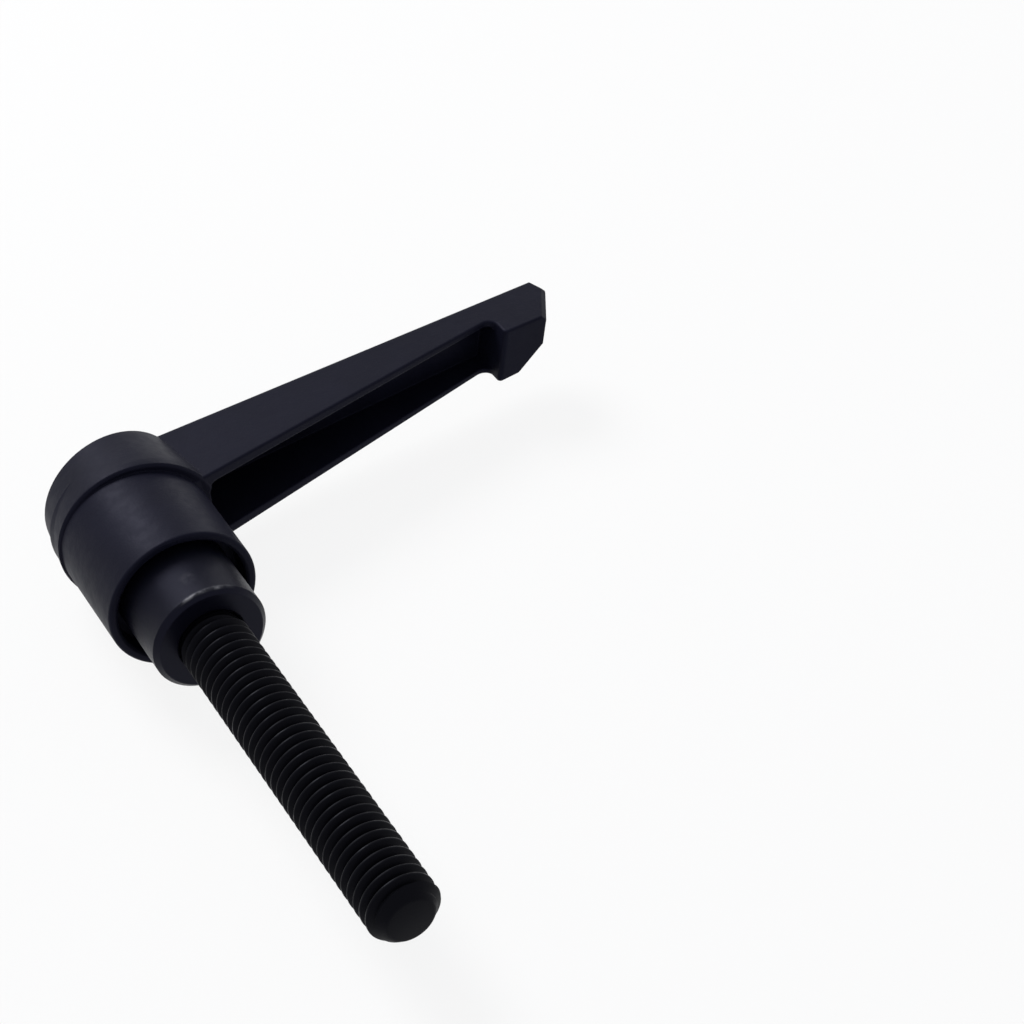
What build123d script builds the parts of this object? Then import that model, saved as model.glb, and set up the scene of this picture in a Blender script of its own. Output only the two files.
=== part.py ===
"""Adjustable clamping lever: a die-cast lever on a serrated insert with a threaded stud.

Millimetres. The hub's axis is Y, the stud points along -Y and the arm runs out along +X.
The origin is on that axis, in the end face of the collar.
"""
import os
from math import cos, radians, sin, tan

from build123d import *

# ---- threaded stud: an M6 rod bonded into the insert ----
stud_crest_dia = 5.97
stud_length = 35.0
stud_end_chamfer = 1.0
stud_shank_dia = 5.4
stud_shank_length = 4.0
stud_bond_gap = 0.015

# ---- serrated insert ----
collar_dia = 10.0
collar_height = 8.0
collar_edge = 0.45
tooth_count = 24
tooth_setback = 0.4
tooth_height = 0.55
tooth_length = 2.8
screw_hole_dia = 4.0
screw_hole_depth = 5.9

# ---- retaining screw: a hexagon socket shoulder screw ----
head_dia = 8.0
head_height = 3.8
head_edge = 0.4
socket_flats = 4.0
socket_depth = 2.2
socket_mouth = 0.3
shoulder_dia = 5.0
shoulder_length = 8.2
screw_thread_dia = 3.94
screw_thread_length = 5.4
screw_end_chamfer = 0.5

# ---- hub of the lever, from its mouth over the collar to its sloping top ----
skirt_lap = 2.35
barrel_wall = 0.85
barrel_flare = 0.05
barrel_length = 9.55
cap_overhang = 0.55
cap_straight = 0.6
cap_taper = 1.0
cap_height = 6.55
hub_low_round = 0.25
cap_shift = 0.3
ledge_slope = -6.0
ledge_edge = 0.2
cap_edge = 0.5
web_thickness = 1.2

# ---- clearances between the lever and what it turns and slides on ----
collar_gap = 0.75
mouth_chamfer = 0.25
tooth_gap = 0.12
web_gap = 0.2
shoulder_gap = 0.05
head_gap = 0.55
spring_gap = 0.25

# ---- arm: a tapered shell, open towards the stud; depths are below its sloping top ----
top_slope = 4.1
arm_near_x = 7.3
arm_near_half = 3.72
arm_far_half = 2.45
arm_root_x = 1.0
rim_near_x = 6.0
rim_near_depth = 7.65
rim_far_depth = 2.3
arm_top_round = 0.4
rim_round = 0.2
rim_edge_z = 1.5

# ---- block under the arm's end, set askew on the arm; places are back from the tip ----
arm_length = 44.13
nose_top_back = 0.55
block_end_back = 2.1
block_near_back = 6.6
block_skew = 12.0
block_depth = 5.4
block_round = 0.4
step_round = 0.9
nose_depth = 1.7
nose_tip_round = 0.8
nose_upper_bevel = 0.5
nose_lower_bevel = 2.1

# ---- channel in the arm ----
channel_near_x = 6.75
channel_near_rim = 0.95
channel_far_rim = 0.45
channel_corner = 0.9
channel_end_corner = 0.4
channel_roof = 1.15

# ---- plain panel on the arm's top face ----
panel_start_x = 9.5
panel_length = 14.0
panel_width = 3.1
panel_depth = 0.18
panel_corner = 0.4

# ---- return spring ----
spring_wire_dia = 0.7
spring_turns = 4
spring_end_flat = 0.15
wire_sides = 8

# ---- values that follow ----
seat_mouth = (stud_crest_dia - stud_shank_dia) / 2
tooth_tip_r = collar_dia / 2 - tooth_setback
tooth_root_r = tooth_tip_r - tooth_height
half_pitch = 180.0 / tooth_count
tooth_top_y = collar_height + tooth_length
web_low_y = tooth_top_y + web_gap
web_high_y = web_low_y + web_thickness
head_low_y = tooth_top_y + shoulder_length
head_high_y = head_low_y + head_height
screw_low_y = tooth_top_y - screw_thread_length
hub_low_y = collar_height - skirt_lap
step_y = hub_low_y + barrel_length
hub_top_y = step_y + cap_height
barrel_low_r = collar_dia / 2 + collar_gap + barrel_wall
barrel_high_r = barrel_low_r + barrel_flare
cap_r = barrel_high_r + cap_overhang
arm_rise = tan(radians(top_slope))
cap_peak_y = hub_top_y + 2 * cap_r * arm_rise
cap_start_y = step_y - 2 * cap_r * tan(radians(-ledge_slope))
block_near_x = arm_length - block_near_back
block_end_x = arm_length - block_end_back
skew = tan(radians(block_skew))
spring_radius = (shoulder_dia + spring_wire_dia) / 2 + spring_gap
facing = cos(radians(35))


def arm_half(x):
    """Half the arm's width at a distance x from the hub's axis."""
    slope = (arm_far_half - arm_near_half) / (arm_length - arm_near_x)
    return arm_near_half + slope * (x - arm_near_x)


def under_top(x, depth):
    """Point in the side view at a distance x from the hub's axis and a depth below the top."""
    return (x, hub_top_y + arm_rise * x - depth)


def star(tip_r, root_r):
    """Corners of a ring of pointed teeth, with a tip on the +X axis."""
    corners = []
    for k in range(tooth_count):
        tip = radians(2 * half_pitch * k)
        root = radians(2 * half_pitch * k + half_pitch)
        corners.append((tip_r * cos(tip), tip_r * sin(tip)))
        corners.append((root_r * cos(root), root_r * sin(root)))
    return corners


def faces_towards(part, x, y):
    """Faces of a part whose normals lie close to a direction in the side view."""
    return part.faces().filter_by(lambda f: f.normal_at().dot(Vector(x, y, 0)) > facing)


def at_height(y):
    """Plane square to the hub's axis at height y, with its normal towards +Y."""
    return Plane(origin=(0, y, 0), x_dir=(1, 0, 0), z_dir=(0, 1, 0))


# Plane of the hub's and the arm's common top, with its own X axis up the arm.
top_plane = Plane(origin=(0, hub_top_y, 0), x_dir=(1, arm_rise, 0), z_dir=(-arm_rise, 1, 0))

# Plane of the ledge under the cap, which slopes down towards the arm.
ledge_plane = Plane(origin=(0, step_y, 0), z_dir=(tan(radians(-ledge_slope)), 1, 0))

# Direction in which the block's edges cross the arm.
across_the_arm = Axis((0, 0, 0), (skew, 0, 1))

# Plane of the block's near face, further out on the arm's upper side than on its lower side.
block_plane = Plane(origin=(block_near_x, 0, 0), z_dir=(1, 0, -skew))


# Threaded stud: its chamfered free end, the threaded length and the shank bonded in the insert.
with BuildPart() as threaded_stud:
    with BuildSketch(at_height(-stud_length)):
        Circle(stud_crest_dia / 2)
    extrude(amount=stud_length)
    chamfer(threaded_stud.edges().sort_by(Axis.Y)[0], length=stud_end_chamfer)
    with BuildSketch(at_height(0)):
        Circle(stud_shank_dia / 2)
    extrude(amount=stud_shank_length)

# Serrated insert: the collar that bears on the work, and the teeth the lever drops over.
with BuildPart() as serrated_insert:
    with BuildSketch(at_height(0)):
        Circle(collar_dia / 2)
    extrude(amount=collar_height)
    chamfer(serrated_insert.edges().sort_by(Axis.Y)[0], length=collar_edge)
    with BuildSketch(at_height(collar_height)):
        Polygon(*star(tooth_tip_r, tooth_root_r), align=None)
    extrude(amount=tooth_length)
    with BuildSketch(at_height(0)):
        Circle(stud_shank_dia / 2 + stud_bond_gap)
    extrude(amount=stud_shank_length + stud_bond_gap, mode=Mode.SUBTRACT)
    with BuildSketch(at_height(0)):
        Circle(stud_crest_dia / 2 + stud_bond_gap)
    extrude(amount=seat_mouth, taper=45, mode=Mode.SUBTRACT)
    with BuildSketch(at_height(tooth_top_y)):
        Circle(screw_hole_dia / 2)
    extrude(amount=-screw_hole_depth, mode=Mode.SUBTRACT)

# Retaining screw: its shoulder stands on the insert and its head holds the spring down.
with BuildPart() as retaining_screw:
    with BuildSketch(Plane.XY):
        with BuildLine():
            Polyline(
                (0, screw_low_y),
                (screw_thread_dia / 2 - screw_end_chamfer, screw_low_y),
                (screw_thread_dia / 2, screw_low_y + screw_end_chamfer),
                (screw_thread_dia / 2, tooth_top_y),
                (shoulder_dia / 2, tooth_top_y),
                (shoulder_dia / 2, head_low_y),
                (head_dia / 2, head_low_y),
                (head_dia / 2, head_high_y - head_edge),
                (head_dia / 2 - head_edge, head_high_y),
                (0, head_high_y),
                close=True,
            )
        make_face()
    revolve(axis=Axis.Y)
    with BuildSketch(at_height(head_high_y)):
        RegularPolygon(radius=socket_flats / 2, side_count=6, major_radius=False, rotation=30)
    extrude(amount=-socket_depth, mode=Mode.SUBTRACT)
    with BuildSketch(at_height(head_high_y)):
        Circle(socket_flats / 2 + socket_mouth)
    extrude(amount=-socket_mouth, taper=45, mode=Mode.SUBTRACT)

# Return spring, between the lever's web and the screw's head, ground flat at both ends.
# Each half turn is a half ring that is tilted to meet the next one in line.
with BuildPart() as return_spring:
    spring_low_y = web_high_y + spring_wire_dia / 2 - spring_end_flat
    spring_high_y = head_low_y - spring_wire_dia / 2 + spring_end_flat
    half_rise = (spring_high_y - spring_low_y) / (2 * spring_turns)
    for k in range(2 * spring_turns):
        side = 1 - 2 * (k % 2)
        start_y = spring_low_y + k * half_rise
        ring_axis = Axis((0, start_y + half_rise / 2, 0), (side * half_rise / 2, spring_radius, 0))
        with BuildSketch(Plane(origin=(side * spring_radius, start_y, 0), z_dir=(0, 0, 1))):
            RegularPolygon(radius=spring_wire_dia / 2, side_count=wire_sides)
        revolve(axis=ring_axis, revolution_arc=180)
    with BuildSketch(at_height(web_high_y)):
        Circle(spring_radius + spring_wire_dia)
    extrude(amount=head_low_y - web_high_y, mode=Mode.INTERSECT)

# Core of the channel: its side view, cut to its tapered plan and along the block's near face.
with BuildPart() as channel_core:
    with BuildSketch(Plane.XY):
        Polygon(
            (channel_near_x, 0),
            (block_end_x, 0),
            under_top(block_end_x, channel_roof),
            under_top(channel_near_x, channel_roof),
            align=None,
        )
    extrude(amount=barrel_low_r, both=True)
    with BuildSketch(at_height(0)):
        near_half = arm_half(channel_near_x) - channel_near_rim
        far_half = arm_half(block_end_x) - channel_far_rim
        Polygon(
            (channel_near_x, -near_half),
            (block_end_x, -far_half),
            (block_end_x, far_half),
            (channel_near_x, near_half),
            align=None,
        )
    extrude(amount=cap_peak_y * 2, mode=Mode.INTERSECT)
    split(bisect_by=block_plane, keep=Keep.BOTTOM)
    uprights = channel_core.edges().filter_by(Axis.Y).sort_by(Axis.X)
    fillet(uprights[:2], radius=channel_corner)
    uprights = channel_core.edges().filter_by(Axis.Y).sort_by(Axis.X)
    fillet(uprights[-2:], radius=channel_end_corner)

# Block: its side view drawn out askew across the arm and cut off along the sloping top.
with BuildPart() as block:
    with BuildSketch(Plane.XY):
        Polygon(
            under_top(block_near_x, -nose_depth),
            under_top(block_near_x, block_depth),
            under_top(block_end_x, block_depth),
            under_top(arm_length, nose_depth),
            under_top(arm_length - 2 * nose_top_back, -nose_depth),
            align=None,
        )
    extrude(amount=barrel_low_r, dir=(skew, 0, 1), both=True)
    split(bisect_by=top_plane, keep=Keep.BOTTOM)

# Barrel of the hub, turned about the Y axis.
with BuildPart() as barrel:
    with BuildSketch(Plane.XY) as barrel_section:
        with BuildLine():
            Polyline(
                (0, hub_low_y),
                (barrel_low_r, hub_low_y),
                (barrel_high_r, step_y),
                (barrel_high_r, hub_top_y - cap_height / 2),
                (0, hub_top_y - cap_height / 2),
                close=True,
            )
        make_face()
        mouth_corner = barrel_section.vertices().sort_by(Axis.Y)[:2].sort_by(Axis.X)[-1]
        fillet(mouth_corner, radius=hub_low_round)
    revolve(axis=Axis.Y)

# Cap of the hub: turned about an axis a little nearer the arm, cut along its ledge and its top.
with BuildPart() as cap:
    with BuildSketch(Plane.XY):
        with BuildLine():
            Polyline(
                (cap_shift, cap_start_y),
                (cap_shift + cap_r, cap_start_y),
                (cap_shift + cap_r, step_y + cap_straight),
                (cap_shift + cap_r - cap_taper, cap_peak_y),
                (cap_shift, cap_peak_y),
                close=True,
            )
        make_face()
    revolve(axis=Axis((cap_shift, 0, 0), (0, 1, 0)))
    split(bisect_by=top_plane, keep=Keep.BOTTOM)
    split(bisect_by=ledge_plane, keep=Keep.TOP)
    chamfer(cap.faces().sort_by(Axis.Y)[-1].edges(), length=cap_edge)
    chamfer(cap.faces().sort_by(Axis.Y)[0].edges(), length=ledge_edge)

# Lever handle: arm, block and hub in one casting.
with BuildPart() as lever_handle:
    # arm and block: their side view cut to the arm's tapered plan
    with BuildSketch(Plane.XY):
        Polygon(
            under_top(arm_root_x, 0),
            under_top(arm_root_x, rim_near_depth),
            under_top(rim_near_x, rim_near_depth),
            under_top(block_end_x, rim_far_depth),
            under_top(block_end_x, 0),
            align=None,
        )
    extrude(amount=barrel_low_r, both=True)
    add(block.part)
    with BuildSketch(at_height(0)):
        Polygon(
            (0, -arm_half(0)),
            (2 * arm_length, -arm_half(2 * arm_length)),
            (2 * arm_length, arm_half(2 * arm_length)),
            (0, arm_half(0)),
            align=None,
        )
    extrude(amount=cap_peak_y * 2, mode=Mode.INTERSECT)
    # nose: a small bevel on its upper side, a large one on its lower side and a rounded tip
    sides = faces_towards(lever_handle, 1, 0).edges().filter_by(across_the_arm, reverse=True)
    chamfer(sides.filter_by(lambda e: e.center().Z > rim_edge_z), length=nose_upper_bevel)
    sides = faces_towards(lever_handle, 1, 0).edges().filter_by(across_the_arm, reverse=True)
    chamfer(sides.filter_by(lambda e: e.center().Z < -rim_edge_z), length=nose_lower_bevel)
    tip = lever_handle.edges().filter_by(across_the_arm).sort_by(Axis.X)[-1]
    fillet(tip, radius=nose_tip_round)
    # rounds of the block's near face, the rims and the top
    near_face = faces_towards(lever_handle, -1, 0).sort_by(Axis.X)[-1]
    fillet(near_face.edges().sort_by(Axis.Y)[0], radius=block_round)
    near_face = faces_towards(lever_handle, -1, 0).sort_by(Axis.X)[-1]
    fillet(near_face.edges().sort_by(Axis.Y)[-1], radius=step_round)
    long_edges = faces_towards(lever_handle, 0, -1).edges().filter_by(lambda e: e.length > block_depth)
    fillet(long_edges.filter_by(lambda e: abs(e.center().Z) > rim_edge_z), radius=rim_round)
    top = faces_towards(lever_handle, 0, 1).sort_by(SortBy.AREA)[-1]
    fillet(top.edges(), radius=arm_top_round)
    add(barrel.part)
    add(cap.part)
    add(channel_core.part, mode=Mode.SUBTRACT)
    # recess around the collar, with a chamfered mouth
    with BuildSketch(at_height(hub_low_y)):
        Circle(collar_dia / 2 + collar_gap)
    extrude(amount=skirt_lap, mode=Mode.SUBTRACT)
    mouth = lever_handle.edges().filter_by(GeomType.CIRCLE).group_by(Axis.Y)[0]
    chamfer(mouth.sort_by(SortBy.RADIUS)[0], length=mouth_chamfer)
    # internal serration that meshes with the insert's teeth
    with BuildSketch(at_height(collar_height)):
        Polygon(*star(tooth_tip_r + tooth_gap, tooth_root_r + tooth_gap), align=None)
    extrude(amount=tooth_length + web_gap, mode=Mode.SUBTRACT)
    # hole in the web, and the counterbore for the spring and the screw's head
    with BuildSketch(at_height(web_low_y)):
        Circle(shoulder_dia / 2 + shoulder_gap)
    extrude(amount=web_thickness, mode=Mode.SUBTRACT)
    with BuildSketch(at_height(web_high_y)):
        Circle(head_dia / 2 + head_gap)
    extrude(amount=cap_peak_y - web_high_y, mode=Mode.SUBTRACT)
    # shallow plain panel sunk in the arm's top face
    with BuildSketch(top_plane):
        with Locations((panel_start_x + panel_length / 2, 0)):
            RectangleRounded(panel_length, panel_width, panel_corner)
    extrude(amount=-panel_depth, mode=Mode.SUBTRACT)

threaded_stud.part.label = "threaded_stud"
serrated_insert.part.label = "serrated_insert"
retaining_screw.part.label = "retaining_screw"
return_spring.part.label = "return_spring"
lever_handle.part.label = "lever_handle"

os.makedirs("parts", exist_ok=True)
export_step(threaded_stud.part, "parts/threaded_stud.step")
export_step(serrated_insert.part, "parts/serrated_insert.step")
export_step(retaining_screw.part, "parts/retaining_screw.step")
export_step(return_spring.part, "parts/return_spring.step")
export_step(lever_handle.part, "parts/lever_handle.step")
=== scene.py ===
import math

import bmesh
import bpy
from mathutils import Matrix, Vector


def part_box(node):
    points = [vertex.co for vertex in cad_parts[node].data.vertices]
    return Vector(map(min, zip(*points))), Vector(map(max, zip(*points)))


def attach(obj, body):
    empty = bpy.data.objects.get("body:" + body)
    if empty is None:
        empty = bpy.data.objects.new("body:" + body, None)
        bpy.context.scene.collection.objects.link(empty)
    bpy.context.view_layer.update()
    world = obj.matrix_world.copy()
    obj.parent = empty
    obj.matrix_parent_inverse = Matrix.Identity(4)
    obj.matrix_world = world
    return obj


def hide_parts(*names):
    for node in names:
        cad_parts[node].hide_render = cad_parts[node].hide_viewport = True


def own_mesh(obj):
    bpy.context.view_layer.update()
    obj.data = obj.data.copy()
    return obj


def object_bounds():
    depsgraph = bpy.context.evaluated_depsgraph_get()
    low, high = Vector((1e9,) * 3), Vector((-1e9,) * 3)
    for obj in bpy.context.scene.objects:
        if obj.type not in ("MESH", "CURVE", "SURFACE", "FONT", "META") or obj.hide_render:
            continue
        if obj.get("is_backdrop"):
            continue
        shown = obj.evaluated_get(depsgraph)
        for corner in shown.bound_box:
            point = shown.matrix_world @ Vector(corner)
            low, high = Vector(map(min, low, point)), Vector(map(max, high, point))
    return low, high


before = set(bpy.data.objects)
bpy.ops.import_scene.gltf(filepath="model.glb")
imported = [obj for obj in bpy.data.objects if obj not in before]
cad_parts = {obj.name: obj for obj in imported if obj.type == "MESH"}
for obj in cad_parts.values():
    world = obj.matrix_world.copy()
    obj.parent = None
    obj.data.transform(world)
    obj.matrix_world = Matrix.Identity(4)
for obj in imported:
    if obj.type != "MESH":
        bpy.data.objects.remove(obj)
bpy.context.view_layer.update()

# Sizes in metres. In the frame's axes the stud runs along -Y from the origin.
MM = 0.001

# The M6 thread: its crest is a flat with small bevels, and its root is rounded.
THREAD_PITCH = 1.0 * MM
THREAD_DEPTH = 0.61 * MM
CREST_HALF_WIDTH = 0.06 * MM
CREST_EDGE = 0.06 * MM
CREST_EDGE_DROP = 0.035 * MM
ROOT_HALF_WIDTH = 0.10 * MM
END_CHAMFER = 1.0 * MM
END_EDGE = 0.14 * MM
END_EDGE_RISE = 0.06 * MM
SHANK_RADIUS = 2.7 * MM
TURN_STEPS = 72
ROOT_STEPS = 4
WELD_DISTANCE = 1e-8

# The spring, whose flat ends are ground off the wire.
WIRE_RADIUS = 0.35 * MM
WIRE_END_FLAT = 0.15 * MM
SPRING_TURNS = 4
COIL_STEPS = 48
WIRE_STEPS = 12

# Faces that meet at less than this are shaded as one.
SMOOTH_ANGLE = math.radians(35)

# Where the finishes show wear, and where lighter colour paints highlights on the collar's end rim
# and the thread's crests, in the piece's own coordinates.
RIM_FACE = 0.24 * MM, 0.44 * MM
RIM_FADE = 0.40 * MM, 0.72 * MM
# Centre and reach of the lit upper side of the collar's rim, where its painted highlight lies.
RIM_HIGHLIGHT_SPOT = (0.26 * MM, 0.3 * MM, 4.9 * MM)
RIM_HIGHLIGHT_REACH = 0.9 * MM, 2.9 * MM
SMUDGE = (-0.3 * MM, 2.5 * MM, 5.0 * MM)
SMUDGE_REACH = 0.3 * MM, 0.9 * MM
CREST_RADII = 2.86 * MM, 2.97 * MM

# The camera, which looks at the frame's origin from an angle and is then shifted aside and up.
AZIMUTH = math.radians(-25.79)
ELEVATION = math.radians(41.24)
ROLL = math.radians(-5.17)
CAMERA_DISTANCE = 223.5 * MM
CAMERA_ASIDE = 24.41 * MM
CAMERA_ABOVE = 10.15 * MM
SENSOR_WIDTH = 36.0
LENS = 96.9
SHIFT = -0.0011, 0.0023
CLIP = 0.01, 10.0

# The studio.
SOFT_COLOR = (0.9, 0.93, 1.0, 1.0)
SOFT_STRENGTH = 0.4
FLOOR_REACH = 3.0
FLOOR_GREY = 0.85
SHADOW_SHARE = 0.12
LAMP_TARGET = Vector((0.02, -0.005, 0.0))


# ---------------------------------------------------------------- materials

def new_material(name):
    """A material with a Principled shader, and that shader."""
    material = bpy.data.materials.new(name)
    material.use_nodes = True
    return material, material.node_tree.nodes["Principled BSDF"]


def node(material, kind, **values):
    """Adds a shader node and sets its inputs or properties by name."""
    made = material.node_tree.nodes.new(kind)
    for name, value in values.items():
        if hasattr(made, name):
            setattr(made, name, value)
        else:
            made.inputs[name.replace("_", " ")].default_value = value
    return made


def link(material, source, target):
    material.node_tree.links.new(source, target)


def place(material):
    """Coordinates fixed to the piece, in metres."""
    return node(material, "ShaderNodeTexCoord").outputs["Object"]


def noise(material, size, detail=3.0, roughness=0.5):
    """Noise whose features are about size metres wide."""
    made = node(
        material, "ShaderNodeTexNoise", Scale=1.0 / size, Detail=detail, Roughness=roughness
    )
    link(material, place(material), made.inputs["Vector"])
    return made.outputs["Fac"]


def ramp(material, value, low, high, start=0.0, end=1.0):
    """Value taken from low..high to start..end, clamped."""
    made = node(material, "ShaderNodeMapRange", interpolation_type="SMOOTHSTEP")
    link(material, value, made.inputs["Value"])
    made.inputs["From Min"].default_value = low
    made.inputs["From Max"].default_value = high
    made.inputs["To Min"].default_value = start
    made.inputs["To Max"].default_value = end
    return made.outputs["Result"]


def combine(material, how, a, b):
    """Math node on two outputs or numbers."""
    made = node(material, "ShaderNodeMath", operation=how)
    for socket, value in zip(made.inputs, (a, b)):
        if isinstance(value, (int, float)):
            socket.default_value = value
        else:
            link(material, value, socket)
    return made.outputs["Value"]


def mix_color(material, share, a, b):
    """Colour a where the share is 0, and b where it is 1."""
    made = node(material, "ShaderNodeMix", data_type="RGBA")
    link(material, share, made.inputs["Factor"])
    made.inputs[6].default_value = (*a, 1.0)
    made.inputs[7].default_value = (*b, 1.0)
    return made.outputs[2]


def spot(material, centre, inner, outer):
    """1 within the inner distance of a point, fading to 0 at the outer one."""
    made = node(material, "ShaderNodeVectorMath", operation="DISTANCE")
    link(material, place(material), made.inputs[0])
    made.inputs[1].default_value = centre
    return ramp(material, made.outputs["Value"], inner, outer, 1.0, 0.0)


def bump(material, height, distance, edge_radius=0.0):
    """Fine relief, over edges that catch the light as if they had a small radius."""
    made = node(material, "ShaderNodeBump", Distance=distance)
    link(material, height, made.inputs["Height"])
    if edge_radius:
        soft = node(material, "ShaderNodeBevel", samples=6, Radius=edge_radius)
        link(material, soft.outputs["Normal"], made.inputs["Normal"])
    return made.outputs["Normal"]


def powder_coat():
    """Satin blue-black powder coat with the fine orange peel of a sprayed casting."""
    material, shader = new_material("powder_coated_zinc")
    cloud = ramp(material, noise(material, 6 * MM, 4.0), 0.3, 0.7)
    tone = mix_color(material, cloud, (0.0046, 0.0049, 0.0104), (0.0064, 0.0067, 0.0138))
    link(material, tone, shader.inputs["Base Color"])
    grain = noise(material, 0.18 * MM, 2.0)
    swell = noise(material, 0.9 * MM, 2.0)
    link(material, ramp(material, swell, 0.3, 0.7, 0.44, 0.50), shader.inputs["Roughness"])
    shader.inputs["Specular IOR Level"].default_value = 0.07
    shader.inputs["Specular Tint"].default_value = (0.66, 0.66, 1.0, 1.0)
    height = combine(material, "ADD", grain, combine(material, "MULTIPLY", swell, 2.0))
    link(material, bump(material, height, 0.009 * MM, 0.25 * MM), shader.inputs["Normal"])
    return material


def collar_steel():
    """Black oxide on turned steel, with a line on the upper side of its end rim painted lighter and
    metallic: partly wear, partly a painted highlight where the light catches the rim.
    """
    material, shader = new_material("blackened_steel")
    parts = node(material, "ShaderNodeSeparateXYZ")
    link(material, place(material), parts.inputs["Vector"])
    rim = ramp(material, parts.outputs["Y"], *RIM_FADE, 1.0, 0.0)
    off_face = ramp(material, parts.outputs["Y"], *RIM_FACE)
    # Lighter only on the upper side, where the light falls on the rim: partly wear, partly a
    # painted highlight.
    upper = spot(material, RIM_HIGHLIGHT_SPOT, *RIM_HIGHLIGHT_REACH)
    band = combine(material, "MULTIPLY", combine(material, "MULTIPLY", rim, off_face), upper)
    rubbed_and_highlight = ramp(material, noise(material, 1.1 * MM, 3.0), 0.38, 0.66, 0.15, 1.0)
    smudge = combine(
        material, "MULTIPLY",
        spot(material, SMUDGE, *SMUDGE_REACH),
        ramp(material, noise(material, 0.9 * MM, 2.0), 0.40, 0.66, 0.0, 0.07),
    )
    wear_and_highlight = combine(material, "MAXIMUM", combine(material, "MULTIPLY", band, rubbed_and_highlight), smudge)
    # The colour is lighter and metallic along the rim, as wear and as a painted highlight, and
    # faintly at the smudge.
    tone = mix_color(material, wear_and_highlight, (0.0031, 0.0032, 0.0070), (0.26, 0.26, 0.28))
    link(material, tone, shader.inputs["Base Color"])
    link(material, ramp(material, wear_and_highlight, 0.0, 1.0, 0.36, 0.45), shader.inputs["Roughness"])
    link(material, ramp(material, wear_and_highlight, 0.0, 1.0, 0.0, 0.8), shader.inputs["Metallic"])
    shader.inputs["Specular IOR Level"].default_value = 0.12
    shader.inputs["Specular Tint"].default_value = (0.62, 0.64, 1.0, 1.0)
    turning = node(
        material, "ShaderNodeTexWave",
        bands_direction="Y", Scale=1.0 / (0.12 * MM), Distortion=1.5,
    )
    link(material, place(material), turning.inputs["Vector"])
    relief = combine(material, "ADD", turning.outputs["Fac"], noise(material, 0.3 * MM))
    link(material, bump(material, relief, 0.004 * MM, 0.15 * MM), shader.inputs["Normal"])
    return material


def stud_steel():
    """Black oxide thread, a little brighter on its crests in places: partly wear, partly a painted
    highlight broken into dashes.
    """
    material, shader = new_material("stud_steel")
    parts = node(material, "ShaderNodeSeparateXYZ")
    link(material, place(material), parts.inputs["Vector"])
    squared = [combine(material, "POWER", parts.outputs[axis], 2.0) for axis in "XZ"]
    radius = combine(material, "SQRT", combine(material, "ADD", *squared), 0.0)
    crest = ramp(material, radius, *CREST_RADII)
    # The crests are painted lighter in places: partly wear, partly a painted highlight broken into
    # dashes.
    wear_and_highlight_patches = ramp(material, noise(material, 1.6 * MM, 5.0), 0.42, 0.60, 0.1, 1.0)
    rubbed_and_highlight = combine(material, "MULTIPLY", crest, wear_and_highlight_patches)
    # Lighter crest colour: wear and painted highlight.
    tone = mix_color(material, rubbed_and_highlight, (0.0017, 0.0017, 0.0028), (0.0032, 0.0033, 0.0050))
    link(material, tone, shader.inputs["Base Color"])
    link(material, ramp(material, rubbed_and_highlight, 0.0, 1.0, 0.50, 0.29), shader.inputs["Roughness"])
    shader.inputs["Specular IOR Level"].default_value = 0.06
    shader.inputs["Specular Tint"].default_value = (0.78, 0.80, 1.0, 1.0)
    link(material, bump(material, noise(material, 0.12 * MM), 0.006 * MM), shader.inputs["Normal"])
    return material


def screw_steel():
    """Satin black oxide of the socket screw."""
    material, shader = new_material("screw_steel")
    cloud = noise(material, 1.5 * MM, 4.0)
    tone = mix_color(material, cloud, (0.0050, 0.0050, 0.0065), (0.0095, 0.0095, 0.0120))
    link(material, tone, shader.inputs["Base Color"])
    shader.inputs["Specular IOR Level"].default_value = 0.20
    rough = ramp(material, noise(material, 0.4 * MM), 0.3, 0.7, 0.32, 0.44)
    link(material, rough, shader.inputs["Roughness"])
    link(material, bump(material, noise(material, 0.15 * MM), 0.004 * MM), shader.inputs["Normal"])
    return material


def spring_steel():
    """Bright drawn wire."""
    material, shader = new_material("spring_steel")
    cloud = noise(material, 0.8 * MM, 4.0)
    tone = mix_color(material, cloud, (0.30, 0.30, 0.32), (0.46, 0.46, 0.48))
    link(material, tone, shader.inputs["Base Color"])
    shader.inputs["Metallic"].default_value = 1.0
    rough = ramp(material, noise(material, 0.3 * MM), 0.3, 0.7, 0.28, 0.40)
    link(material, rough, shader.inputs["Roughness"])
    return material


# ---------------------------------------------------------------- the thread and the spring

def thread_profile(crest, root):
    """One pitch of the thread's section, from crest to crest: (distance along the stud, radius)."""
    edge = CREST_HALF_WIDTH + CREST_EDGE
    points = [
        (-CREST_HALF_WIDTH, crest),
        (CREST_HALF_WIDTH, crest),
        (edge, crest - CREST_EDGE_DROP),
    ]
    flank_end = root + ROOT_HALF_WIDTH / 2
    for k in range(ROOT_STEPS + 1):
        turn = math.pi * k / ROOT_STEPS
        along = THREAD_PITCH / 2 - ROOT_HALF_WIDTH * math.cos(turn)
        points.append((along, flank_end - (flank_end - root) * math.sin(turn)))
    points.append((THREAD_PITCH - edge, crest - CREST_EDGE_DROP))
    return points


def drawn_ring(mesh, edges, radius, y):
    """Draws an open ring of edges out to a new ring of the given radius and height."""
    made = bmesh.ops.extrude_edge_only(mesh, edges=edges)["geom"]
    for v in (part for part in made if isinstance(part, bmesh.types.BMVert)):
        angle = math.atan2(v.co.z, v.co.x)
        v.co = (radius * math.cos(angle), y, radius * math.sin(angle))
    return [part for part in made if isinstance(part, bmesh.types.BMEdge)]


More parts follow.
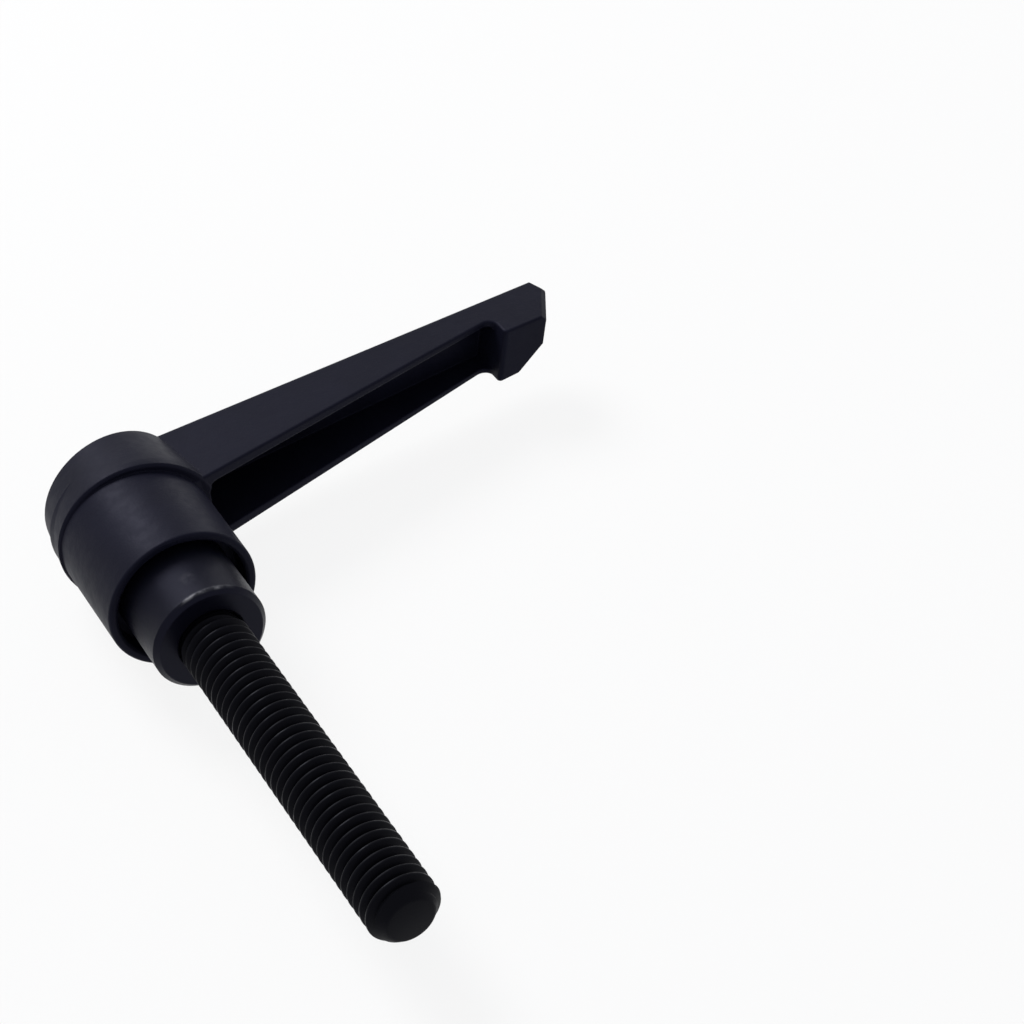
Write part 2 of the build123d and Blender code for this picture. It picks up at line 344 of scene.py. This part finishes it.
def threaded_stud(material):
    """The stud with its right-hand thread, inside the frame's plain stud."""
    low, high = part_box("threaded_stud")
    crest = high.x
    root = crest - THREAD_DEPTH
    end_face = crest - END_CHAMFER
    profile = thread_profile(crest, root)
    steps = int((-low.y / THREAD_PITCH + 2) * TURN_STEPS)
    mesh = bmesh.new()
    rows = []
    for k in range(steps + 1):
        angle = 2 * math.pi * k / TURN_STEPS
        row = []
        for along, radius in profile:
            y = low.y + THREAD_PITCH * (k / TURN_STEPS - 1) + along
            y = min(max(y, low.y + END_EDGE_RISE), 0.0)
            radius = min(radius, end_face + y - low.y, root - y)
            row.append(mesh.verts.new((radius * math.cos(angle), y, -radius * math.sin(angle))))
        rows.append(row)
    for k in range(steps):
        here, after = rows[k], rows[k + 1]
        for j in range(len(profile) - 1):
            mesh.faces.new((here[j], here[j + 1], after[j + 1], after[j]))
        if k + TURN_STEPS < steps:
            next_turn = rows[k + TURN_STEPS][0], rows[k + TURN_STEPS + 1][0]
            mesh.faces.new((here[-1], *next_turn, after[-1]))
    bmesh.ops.remove_doubles(mesh, verts=mesh.verts, dist=WELD_DISTANCE)
    ends = [e for e in mesh.edges if e.is_boundary]
    outer = [e for e in ends if e.verts[0].co.y < low.y / 2]
    inner = [e for e in ends if e.verts[0].co.y > low.y / 2]
    end_edge = drawn_ring(mesh, outer, end_face - END_EDGE, low.y)
    mesh.faces.new(in_order(end_edge))
    step = drawn_ring(mesh, inner, SHANK_RADIUS, 0.0)
    shank = drawn_ring(mesh, step, SHANK_RADIUS, high.y)
    mesh.faces.new(in_order(shank))
    stud = finished("stud_thread", mesh, material, "fixed")
    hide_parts("threaded_stud")


def in_order(edges):
    """The vertices of a closed ring of edges round the stud's axis, in order."""
    corners = {v for e in edges for v in e.verts}
    return sorted(corners, key=lambda v: math.atan2(v.co.z, v.co.x))


def coiled_spring(material):
    """The spring as one round wire, ground flat at its ends."""
    low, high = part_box("return_spring")
    coil_radius = high.x - WIRE_RADIUS
    start = low.y + WIRE_RADIUS - WIRE_END_FLAT
    rise = high.y - low.y - 2 * (WIRE_RADIUS - WIRE_END_FLAT)
    steps = SPRING_TURNS * COIL_STEPS
    mesh = bmesh.new()
    rings = []
    for k in range(steps + 1):
        angle = 2 * math.pi * k / COIL_STEPS
        ring = []
        for j in range(WIRE_STEPS):
            turn = 2 * math.pi * j / WIRE_STEPS
            radius = coil_radius + WIRE_RADIUS * math.cos(turn)
            y = start + rise * k / steps + WIRE_RADIUS * math.sin(turn)
            y = min(max(y, low.y), high.y)
            ring.append(mesh.verts.new((radius * math.cos(angle), y, -radius * math.sin(angle))))
        rings.append(ring)
    for here, after in zip(rings, rings[1:]):
        for j in range(WIRE_STEPS):
            mesh.faces.new((here[j - 1], here[j], after[j], after[j - 1]))
    mesh.faces.new(rings[0])
    mesh.faces.new(rings[-1])
    spring = finished("spring_coils", mesh, material, "spring")
    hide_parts("return_spring")
    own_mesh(spring)


def finished(name, mesh, material, body):
    """Turns a bmesh into a shown piece of the object."""
    data = bpy.data.meshes.new(name)
    bmesh.ops.recalc_face_normals(mesh, faces=mesh.faces)
    mesh.to_mesh(data)
    mesh.free()
    data.materials.append(material)
    data.shade_smooth()
    data.set_sharp_from_angle(angle=SMOOTH_ANGLE)
    obj = bpy.data.objects.new(name, data)
    bpy.context.scene.collection.objects.link(obj)
    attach(obj, body)
    return obj


# ---------------------------------------------------------------- studio

def shows_background(tree):
    """1 for the rays that see the background itself: straight, mirrored or through glass."""
    path = tree.nodes.new("ShaderNodeLightPath")
    seen = path.outputs["Is Camera Ray"]
    for kind in ("Is Glossy Ray", "Is Transmission Ray"):
        either = tree.nodes.new("ShaderNodeMath")
        either.operation = "MAXIMUM"
        tree.links.new(seen, either.inputs[0])
        tree.links.new(path.outputs[kind], either.inputs[1])
        seen = either.outputs[0]
    return seen


def white_world():
    """Soft light on the object from plain surroundings, which look white."""
    world = bpy.data.worlds.new("studio")
    bpy.context.scene.world = world
    world.use_nodes = True
    nodes, links = world.node_tree.nodes, world.node_tree.links
    nodes.clear()
    out = nodes.new("ShaderNodeOutputWorld")
    seen = nodes.new("ShaderNodeBackground")
    seen.inputs["Color"].default_value = (1.0, 1.0, 1.0, 1.0)
    seen.inputs["Strength"].default_value = 1.0
    soft = nodes.new("ShaderNodeBackground")
    soft.inputs["Color"].default_value = SOFT_COLOR
    soft.inputs["Strength"].default_value = SOFT_STRENGTH
    mix = nodes.new("ShaderNodeMixShader")
    links.new(shows_background(world.node_tree), mix.inputs[0])
    links.new(soft.outputs[0], mix.inputs[1])
    links.new(seen.outputs[0], mix.inputs[2])
    links.new(mix.outputs[0], out.inputs["Surface"])


def camera():
    """Camera at the photograph's viewing angle."""
    ahead = Vector((
        -math.sin(AZIMUTH) * math.cos(ELEVATION),
        math.cos(AZIMUTH) * math.cos(ELEVATION),
        -math.sin(ELEVATION),
    ))
    level = Vector((math.cos(AZIMUTH), math.sin(AZIMUTH), 0.0))
    upright = level.cross(ahead)
    right = level * math.cos(ROLL) + upright * math.sin(ROLL)
    up = upright * math.cos(ROLL) - level * math.sin(ROLL)
    data = bpy.data.cameras.new("camera")
    data.sensor_width = SENSOR_WIDTH
    data.lens = LENS
    data.shift_x, data.shift_y = SHIFT
    data.clip_start, data.clip_end = CLIP
    cam = bpy.data.objects.new("camera", data)
    turn = Matrix((right, up, -ahead)).transposed()
    where = right * CAMERA_ASIDE + up * CAMERA_ABOVE - ahead * CAMERA_DISTANCE
    cam.matrix_world = Matrix.Translation(where) @ turn.to_4x4()
    bpy.context.scene.collection.objects.link(cam)
    bpy.context.scene.camera = cam


def floor():
    """Pale floor under the resting lever. It keeps the soft shadow and lets the white world show,
    and with it the arm, when it is turned down past the floor."""
    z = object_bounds()[0].z
    mesh = bpy.data.meshes.new("floor")
    signs = (-1, -1), (1, -1), (1, 1), (-1, 1)
    corners = [(x * FLOOR_REACH, y * FLOOR_REACH, z) for x, y in signs]
    mesh.from_pydata(corners, [], [(0, 1, 2, 3)])
    obj = bpy.data.objects.new("floor", mesh)
    bpy.context.scene.collection.objects.link(obj)
    mat = bpy.data.materials.new("floor")
    mat.use_nodes = True
    nodes, links = mat.node_tree.nodes, mat.node_tree.links
    nodes.clear()
    out = nodes.new("ShaderNodeOutputMaterial")
    matte = nodes.new("ShaderNodeBsdfDiffuse")
    matte.inputs["Color"].default_value = (FLOOR_GREY, FLOOR_GREY, FLOOR_GREY, 1.0)
    clear = nodes.new("ShaderNodeBsdfTransparent")
    share = nodes.new("ShaderNodeMixShader")
    share.inputs[0].default_value = SHADOW_SHARE
    links.new(clear.outputs[0], share.inputs[1])
    links.new(matte.outputs[0], share.inputs[2])
    pick = nodes.new("ShaderNodeMixShader")
    links.new(shows_background(mat.node_tree), pick.inputs[0])
    links.new(matte.outputs[0], pick.inputs[1])
    links.new(share.outputs[0], pick.inputs[2])
    links.new(pick.outputs[0], out.inputs["Surface"])
    mesh.materials.append(mat)
    obj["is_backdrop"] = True


def lamp(name, location, size, power):
    """A round soft lamp aimed at the object."""
    data = bpy.data.lights.new(name, "AREA")
    data.shape = "DISK"
    data.size = size
    data.energy = power
    obj = bpy.data.objects.new(name, data)
    obj.location = Vector(location)
    obj.rotation_euler = (LAMP_TARGET - obj.location).to_track_quat("-Z", "Y").to_euler()
    bpy.context.scene.collection.objects.link(obj)


def paint(name, material):
    """Gives a node of the frame its material."""
    node_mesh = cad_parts[name].data
    node_mesh.materials.clear()
    node_mesh.materials.append(material)


# ---------------------------------------------------------------- the scene

paint("lever_handle", powder_coat())
paint("serrated_insert", collar_steel())
paint("retaining_screw", screw_steel())
threaded_stud(stud_steel())
coiled_spring(spring_steel())

white_world()
camera()
floor()
lamp("key", location=(-0.08, 0.40, 0.43), size=0.3, power=2.8)
lamp("edge", location=(0.38, 0.42, 0.09), size=0.12, power=0.12)

bpy.context.scene.view_settings.view_transform = "Standard"
